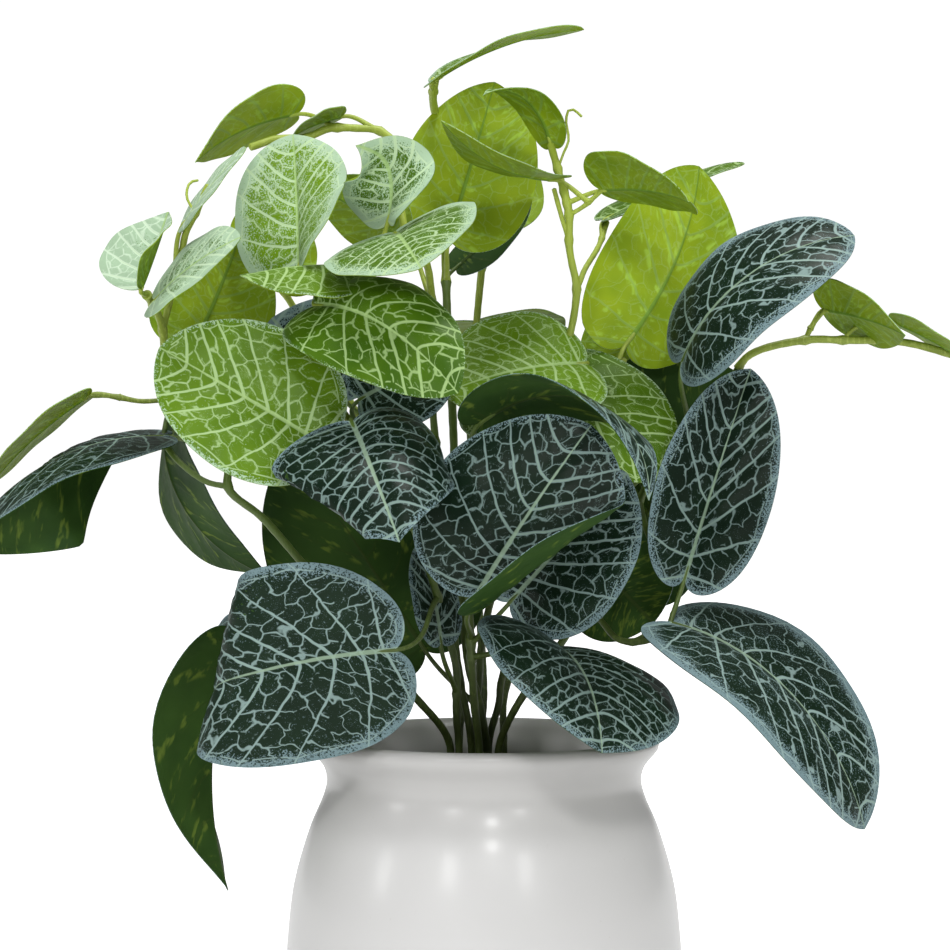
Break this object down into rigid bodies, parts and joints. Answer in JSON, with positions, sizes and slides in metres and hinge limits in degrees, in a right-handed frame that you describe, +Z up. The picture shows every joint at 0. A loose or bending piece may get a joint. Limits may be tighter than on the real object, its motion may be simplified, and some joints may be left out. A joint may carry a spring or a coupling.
{
  "type": "potted nerve plant",
  "caption": "Bushy houseplant with heart-shaped, net-veined leaves on tall stems, dark green below and lime above, standing in a bellied white glazed vase.",
  "frame": {"origin": "centre of the vase's flat base, on the ground", "axes": "+Z up along the vase's axis, -Y towards the front of the plant, +X to the right seen from the front"},
  "size_m": [0.4034, 0.2511, 0.468],
  "materials": {
    "vase_glaze": "satin white glaze",
    "peat": "dark crumbly peat",
    "dark_foliage": "satin dark green leaf with pale blue-grey veins, olive stems",
    "lime_foliage": "satin lime green leaf with pale green veins, green stems"
  },
  "bodies": {
    "root": {"vase": "vase_glaze", "peat": "peat", "left_stem_dark": "dark_foliage", "left_stem_lime": "lime_foliage", "front_left_stem_dark": "dark_foliage", "front_left_stem_lime": "lime_foliage", "top_left_stem_dark": "dark_foliage", "top_left_stem_lime": "lime_foliage", "top_stem_dark": "dark_foliage", "top_stem_lime": "lime_foliage", "tall_stem_dark": "dark_foliage", "tall_stem_lime": "lime_foliage", "right_stem_dark": "dark_foliage", "right_stem_lime": "lime_foliage", "far_right_stem_dark": "dark_foliage", "far_right_stem_lime": "lime_foliage", "front_stem_dark": "dark_foliage", "back_left_stem_dark": "dark_foliage", "back_left_stem_lime": "lime_foliage", "back_right_stem_dark": "dark_foliage", "back_right_stem_lime": "lime_foliage", "back_stem_dark": "dark_foliage", "back_stem_lime": "lime_foliage"}
  },
  "joints": []
}
